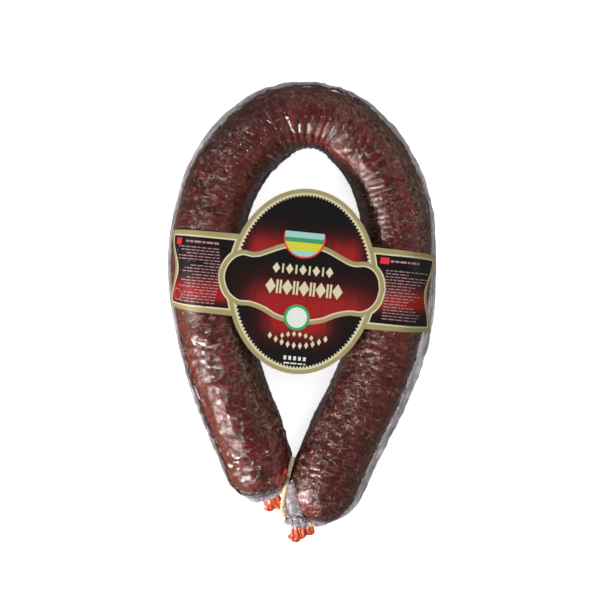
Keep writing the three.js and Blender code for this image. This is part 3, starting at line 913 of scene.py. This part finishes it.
def box_patch(u, v, width, height):
    """An upright rectangle round its centre."""
    w, h = width / 2, height / 2
    return np.array([(u - w, v - h), (u + w, v - h), (u + w, v + h), (u - w, v + h)])


def diamond(u, v, width, height):
    w, h = width / 2, height / 2
    return np.array([(u, v - h), (u + w, v), (u, v + h), (u - w, v)])


def slab(name, outlines, level, glow=None, thickness=INK_THICKNESS):
    """Thin printed shapes at a height over the label's underside, cut finely enough to bend."""
    sheet = bmesh.new()
    for outline in outlines:
        corners = [sheet.verts.new((x, y, 0)) for x, y in outline]
        sheet.faces.new(corners).normal_update()
    bmesh.ops.triangulate(sheet, faces=sheet.faces[:])
    for axis in (0, 1):
        low = min(v.co[axis] for v in sheet.verts)
        high = max(v.co[axis] for v in sheet.verts)
        normal = (1, 0, 0) if axis == 0 else (0, 1, 0)
        for cut in np.arange(math.ceil(low / LABEL_CELL), math.ceil(high / LABEL_CELL)) * LABEL_CELL:
            spot = (cut, 0, 0) if axis == 0 else (0, cut, 0)
            everything = sheet.verts[:] + sheet.edges[:] + sheet.faces[:]
            bmesh.ops.bisect_plane(sheet, geom=everything, plane_co=spot, plane_no=normal)
    bmesh.ops.triangulate(sheet, faces=sheet.faces[:])
    for face in sheet.faces:
        if face.normal.z < 0:
            face.normal_flip()
    sheet.verts.index_update()
    flat = np.array([v.co[:2] for v in sheet.verts])
    tops = [[v.index for v in face.verts] for face in sheet.faces]
    rims = [[v.index for v in edge.verts] for edge in sheet.edges if len(edge.link_faces) == 1]
    directed = {(a, b) for f in tops for a, b in zip(f, f[1:] + f[:1])}
    rims = [(a, b) if (a, b) in directed else (b, a) for a, b in rims]
    sheet.free()
    count = len(flat)
    placed = turned_flat(flat)
    wave = 0.12 * noise(placed[:, 0] / 23, placed[:, 1] / 17, seed=71) + 0.12
    upper = on_arms(placed, wave + level + thickness)
    lower = on_arms(placed, wave + level)
    faces = tops + [[i + count for i in reversed(f)] for f in tops]
    faces += [[b, a, a + count, b + count] for a, b in rims]
    both = np.vstack([flat, flat])
    uv = both[[i for face in faces for i in face]]
    shade = glow(*both.T) if glow else np.zeros(2 * count)
    mesh = built_mesh(name, np.vstack([upper, lower]) * MM, faces, uv, {"glow": shade})
    mesh.set_sharp_from_angle(angle=math.radians(40))
    return mesh


# How red each ground is, from 0 at black to 1, at a point of the label.


def oval_glow(u, v):
    upper = span(v, 0, 12, 17, 40) * (1 - smoothstep(np.abs(u), 30, 42))
    upper *= smoothstep(np.abs(u), 2, 18) * 0.75 + 0.25
    lower = span(v, -46, -27, -12, 0) * (1 - smoothstep(np.abs(u + 1), 10, 34))
    return np.where(v > 0, upper, lower)


def cartouche_glow(u, v):
    return (1 - smoothstep(v, -15, 12)) * smoothstep(u, -47, -22) * (1 - 0.35 * smoothstep(u, 28, 48))


def wing_glow(u, v):
    slant = v - 0.05 * u
    return span(slant, -20, -12, -9, 7)


def dashes(rows, right_aligned, seed):
    """Rows of short plain dashes: (edge, height above the middle, row length, thickness)."""
    random = np.random.default_rng(seed)
    shapes = []
    for edge, v, length, thickness in rows:
        at = 0.0
        while at < length:
            width = min(random.uniform(1.4, 4.2), length - at)
            if width > 0.5:
                middle = at + width / 2
                u = edge - middle if right_aligned else edge + middle
                shapes.append(box_patch(u, v, width, thickness))
            at += width + 0.75
    return shapes


def row(shape, count, start, pitch, v, *size):
    """Equal shapes side by side, from the first one's middle."""
    return [shape(start + pitch * i, v, *size) for i in range(count)]


# The label's layers from the card up, each a little above the one before.
LAYERS = ["wing_line", "wing_field", "halo", "oval", "oval_line", "oval_field", "frame", "frame_line",
          "frame_field", "print", "print_top"]
LEVELS = {layer: 0.28 + 0.045 * i for i, layer in enumerate(LAYERS)}
LEVELS["card"] = 0.0
LEVELS["halo_frame"] = LEVELS["halo"] + 0.02

EMBLEM = (-1.0, 27.0)
EMBLEM_RADIUS = 13.0
SEAL = (-1.1, -22.4)
SEAL_RADIUS = 7.9
RING = (-77.6, -15.4)
RING_RADIUS = 3.7
PRINT_PITCH = 1.86
PRINT_HEIGHT = 0.62


def label_inks():
    """The label's materials by colour."""
    plain = {"red": (226, 34, 40), "white": (224, 228, 223), "green": (24, 168, 92),
             "yellow": (206, 206, 40), "teal": (60, 150, 100), "pale_blue": (150, 206, 200),
             "pale_red": (176, 132, 132)}
    inks = {name: ink_material(f"label_{name}", (0.5, rgb(*colour))) for name, colour in plain.items()}
    inks["olive"] = ink_material("label_olive", (0.5, rgb(160, 148, 100)), rough=0.4)
    inks["cream"] = ink_material("label_cream", (0.5, rgb(214, 206, 170)), rough=0.45)
    glow = ((0.0, rgb(15, 10, 10)), (0.35, rgb(44, 7, 9)), (0.7, rgb(98, 8, 10)), (1.0, rgb(152, 8, 11)))
    inks["ground"] = ink_material("label_ground", *glow, rough=0.34)
    return inks


def label_piece(name, material, *parts):
    """A piece of the label from slabs: (outlines, layer, glow and thickness where they aren't the usual)."""
    meshes = [slab(f"{name}_{i}", outlines, LEVELS[layer], *rest)
              for i, (outlines, layer, *rest) in enumerate(parts)]
    new_piece(name, merged(name, meshes), material, "label")


def make_label_ground(inks):
    """The card with its olive borders, the cream lines inside them and the three grounds."""
    frame_line = centripetal(np.array(CARTOUCHE), 6)[:-1]
    halo, outer, inner, field = (offset_outline(frame_line, d) for d in (2.7, 1.7, -0.6, -1.5))
    label_piece("label_card", inks["olive"],
                ([label_outline()], "card", None, CARD_THICKNESS),
                ([oval_patch(0)], "oval"),
                ([outer], "frame"))
    label_piece("label_lines", inks["cream"],
                ([wing_patch(1, LINE_INSET)], "wing_line"),
                ([wing_patch(-1, LINE_INSET)[::-1]], "wing_line"),
                ([barrel_patch(0.9, WING_HALF_HEIGHT - LINE_INSET)], "halo"),
                ([halo], "halo_frame"),
                ([oval_patch(2.6)], "oval_line"),
                ([inner], "frame_line"))
    ground = inks["ground"]
    label_piece("label_wing_ground", ground,
                ([wing_patch(1, GROUND_INSET)], "wing_field", wing_glow),
                ([wing_patch(-1, GROUND_INSET)[::-1]], "wing_field", wing_glow))
    toothed = oval_patch(3.4, teeth=130, depth=1.6)
    label_piece("label_oval_ground", ground, ([toothed], "oval_field", oval_glow))
    label_piece("label_title_ground", ground, ([field], "frame_field", cartouche_glow))


def emblem_band(low, high):
    """A level stripe of the emblem's bowl, inside its rim."""
    v = np.linspace(low, high, 10)
    half = np.sqrt(np.maximum((EMBLEM_RADIUS - 1) ** 2 - np.minimum(v - EMBLEM[1], 0) ** 2, 0.3))
    right, left = np.column_stack([EMBLEM[0] + half, v]), np.column_stack([EMBLEM[0] - half, v])
    return np.vstack([right, left[::-1]])


def make_label_emblem(inks):
    """A plain striped bowl and a plain seal, in the places of the photo's picture marks."""
    bowl = disc(EMBLEM, EMBLEM_RADIUS, 40, math.pi, 2 * math.pi)
    rim = np.vstack([bowl, [(11.7, 29.5), (-13.7, 29.5)]])
    label_piece("label_emblem_rim", inks["red"], ([rim], "print"))
    stripes = [("sky", "pale_blue", 26.5, 30.2), ("hills", "teal", 23.8, 26.5),
               ("field", "yellow", 18.6, 23.8), ("water", "pale_blue", 15.2, 18.6)]
    for name, ink, low, high in stripes:
        label_piece(f"label_emblem_{name}", inks[ink], ([emblem_band(low, high)], "print_top"))
    label_piece("label_seal_ring", inks["green"], ([disc(SEAL, SEAL_RADIUS)], "print"))
    label_piece("label_seal", inks["white"], ([disc(SEAL, SEAL_RADIUS - 1.6)], "print_top"))


def make_label_ornament(inks):
    """Rows of diamonds and bars in the places of the title and the lines under the seal."""
    title = (row(diamond, 5, -16.5, 8.2, 7.0, 4.6, 6.6) + row(box_patch, 4, -12.4, 8.2, 7.0, 1.1, 5.6)
             + row(diamond, 5, -19.0, 10.3, -4.4, 6.4, 9.6) + row(box_patch, 4, -14.9, 10.3, -4.4, 1.3, 8.4)
             + row(box_patch, 4, -12.8, 10.3, -4.4, 1.3, 8.4))
    short = [diamond(u, -32.5 - 0.02 * u ** 2, 2.4, 3.6) for u in np.arange(6) * 3.6 - 9]
    long = [diamond(u, -39.6 + 0.018 * u ** 2, 2.6, 4.4) for u in np.arange(10) * 3.8 - 16.5]
    label_piece("label_motifs", inks["cream"], (title, "print"), (short + long, "print"))
    label_piece("label_foot_marks", inks["white"],
                (row(box_patch, 5, -6.0, 3.0, -47.4, 1.7, 2.4), "print"),
                (dashes([(-6.6, -50.6, 13.5, 0.8)], False, 5), "print"))


def make_label_print(inks):
    """Plain dashes in the places of the small print, and the small marks of the two wings."""
    left_lengths = [26, 25, 21, 27, 27, 10, 19, 22, 24, 17, 20, 25, 21, 25, 14, 22, 24, 26, 29]
    left_rows = [(-50.6 - 0.025 * (i - 9) ** 2, 14.6 - PRINT_PITCH * i, length, PRINT_HEIGHT)
                 for i, length in enumerate(left_lengths)]
    right_lengths = [28, 14, 30, 26, 24, 19, 16, 20, 23, 18, 15, 14, 19, 22, 25, 24, 22]
    right_rows = [(50.6 + 0.06 * (9 - abs(i - 9)), 11.8 - PRINT_PITCH * i, length, PRINT_HEIGHT)
                  for i, length in enumerate(right_lengths)]
    label_piece("label_small_print", inks["pale_red"],
                (dashes([(-53, 18.0, 20.5, 1.3)] + left_rows, True, 1), "print"),
                (dashes([(53, 17.6, 18, 1.3)] + right_rows, False, 2), "print"))
    label_piece("label_marks", inks["red"],
                ([box_patch(-79.0, 17.6, 4.2, 4.2)], "print"),
                ([box_patch(49.3, 17.6, 5.6, 4.0)], "print"))
    label_piece("label_ring", inks["pale_red"], ([disc(RING, RING_RADIUS, 40)], "print"))
    label_piece("label_ring_middle", inks["ground"],
                ([disc(RING, RING_RADIUS - 0.5)], "print_top", wing_glow))


def make_label():
    inks = label_inks()
    make_label_ground(inks)
    make_label_emblem(inks)
    make_label_ornament(inks)
    make_label_print(inks)


# ---------------- stage, light and camera


def make_floor():
    """A white floor that curves up into a round backdrop. It only shows to the camera: the object's bounce
    light and reflections come from the studio around it."""
    rings = [(0.001, 0.0), (1.6, 0.0), (2.4, 0.03), (3.1, 0.12), (3.7, 0.30), (4.2, 0.58), (4.6, 0.98),
             (4.85, 1.5), (4.97, 2.2), (5.0, 3.5)]
    turn = np.linspace(0, 2 * math.pi, 96, endpoint=False)
    points = np.array([[(r * math.cos(a), r * math.sin(a), z) for a in turn] for r, z in rings]) / MM
    lift = np.linspace(0, 1, len(rings))
    mesh = grid_mesh("floor", points, (lift, turn), values={"lift": lift[:, None]})
    floor = bpy.data.objects.new("floor", mesh)
    bpy.context.scene.collection.objects.link(floor)
    p = Paint("floor_white")
    glow = p.step(p.value("lift"), 0.1, 0.7, 0.76, 0.96)
    mesh.materials.append(p.finish(p.principled(
        Base_Color=(0.86, 0.86, 0.87, 1), Roughness=0.9, Specular_IOR_Level=0.1,
        Emission_Color=(1, 1, 1, 1), Emission_Strength=glow)))
    floor.visible_glossy = False
    floor.visible_diffuse = False
    floor.visible_shadow = False


def make_studio():
    """Soft grey surroundings: warm and dim below, brightest at the horizon, dark overhead."""
    world = bpy.data.worlds.new("studio")
    bpy.context.scene.world = world
    world.use_nodes = True
    studio = Nodes(world.node_tree)
    direction = studio.node("ShaderNodeTexCoord").outputs["Generated"]
    height = studio.node("ShaderNodeSeparateXYZ", {0: direction}).outputs["Z"]
    share = studio.node("ShaderNodeMapRange", {"Value": height, "From Min": -1}).outputs[0]
    colour = studio.ramp(share, (0.0, (0.16, 0.14, 0.12, 1)), (0.44, (0.22, 0.20, 0.18, 1)),
                         (0.52, (0.34, 0.35, 0.37, 1)), (0.70, (0.22, 0.23, 0.25, 1)),
                         (1.0, (0.10, 0.10, 0.11, 1)))
    studio.tree.links.new(colour, studio.tree.nodes["Background"].inputs["Color"])


def area_light(name, place, size, power, colour, target=(0, 0, 0)):
    """A rectangular softbox, in metres and watts, turned to its target."""
    data = bpy.data.lights.new(name, "AREA")
    data.shape = "RECTANGLE"
    data.size, data.size_y = size
    data.energy = power
    data.color = colour
    light = bpy.data.objects.new(name, data)
    light.location = place
    light.rotation_euler = (Vector(target) - Vector(place)).to_track_quat("-Z", "Y").to_euler()
    bpy.context.scene.collection.objects.link(light)
    return light


def make_lights():
    """The key gives the highlights. The sheen adds only to them, and the overhead only to the body."""
    middle = (0, 0, 0.02)
    area_light("key_softbox", (-1.17, -0.84, 0.78), (0.62, 0.44), 34, (1.0, 0.985, 0.95), middle)
    sheen = area_light("key_sheen", (-1.18, -0.85, 0.77), (1.0, 0.62), 42, (1.0, 0.99, 0.97), middle)
    sheen.visible_diffuse = False
    area_light("fill_right", (1.5, 0.5, 0.9), (1.4, 0.8), 3, (1.0, 0.96, 0.86))
    area_light("fill_top", (0.3, 1.5, 1.1), (1.6, 0.8), 4, (0.92, 0.95, 1.0))
    overhead = area_light("overhead", (0.35, 0.15, 1.6), (1.2, 1.2), 9.5, (1.0, 0.97, 0.94))
    overhead.visible_glossy = False


def make_camera():
    """Straight above, far enough away to look almost flat."""
    data = bpy.data.cameras.new("camera")
    data.sensor_width = 36
    data.lens = 172
    data.clip_end = 20
    camera = bpy.data.objects.new("camera", data)
    camera.location = (-0.0003, 0.0071, 1.8)
    bpy.context.scene.collection.objects.link(camera)
    bpy.context.scene.camera = camera


make_camera()
make_floor()
make_studio()
make_lights()
casing = make_sausage()
make_gathers(casing)
film = make_film()
make_film_ends(film)
make_strings()
make_tails()
make_label()
bpy.context.scene.view_settings.view_transform = "Standard"
